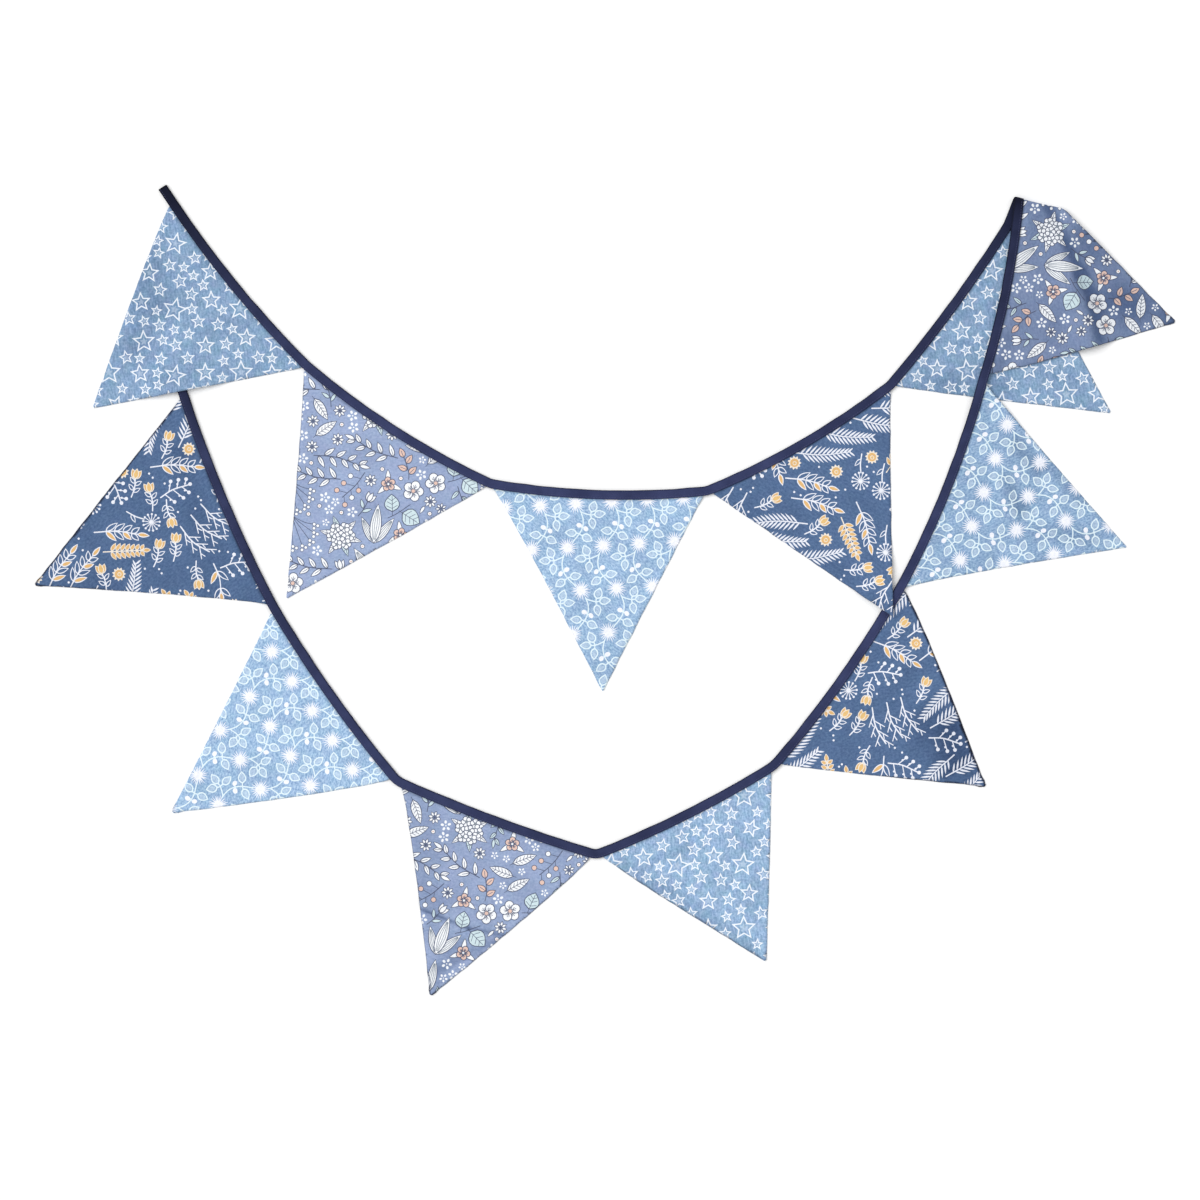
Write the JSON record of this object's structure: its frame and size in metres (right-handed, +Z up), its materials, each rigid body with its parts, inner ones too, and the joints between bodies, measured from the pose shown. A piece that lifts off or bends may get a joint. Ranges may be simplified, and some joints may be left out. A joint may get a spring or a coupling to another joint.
{
  "type": "fabric bunting",
  "caption": "Fabric bunting: pointed two-layer cotton flags sewn into one folded bias tape, laid flat in two swags and folded back over itself at one flag.",
  "frame": {"origin": "middle of the whole outline, on the surface that the bunting lies on", "axes": "+Z up from the surface, +X along the two swags towards the fold, +Y across them towards the fold and the first flag"},
  "size_m": [1.2894, 0.9176, 0.0107],
  "materials": {
    "bias_tape": "woven cotton bias tape, dark navy",
    "star_cotton": "printed cotton poplin, mottled light denim blue with white outline stars",
    "floral_cotton": "printed cotton poplin, periwinkle blue with white, mint and peach line-drawn flowers",
    "vine_cotton": "printed cotton twill, light denim blue with a white vine repeat",
    "botanical_cotton": "printed cotton poplin, denim blue with white ferns and yellow-orange leaves"
  },
  "bodies": {
    "root": {"bias_tape": "bias_tape", "flag_01": "star_cotton", "flag_02": "floral_cotton", "flag_03": "vine_cotton", "flag_04": "botanical_cotton", "flag_05": "star_cotton", "flag_06": "floral_cotton", "flag_07": "vine_cotton", "flag_08": "botanical_cotton", "flag_09": "star_cotton", "flag_10": "floral_cotton", "flag_11": "vine_cotton", "flag_12": "botanical_cotton"}
  },
  "joints": []
}
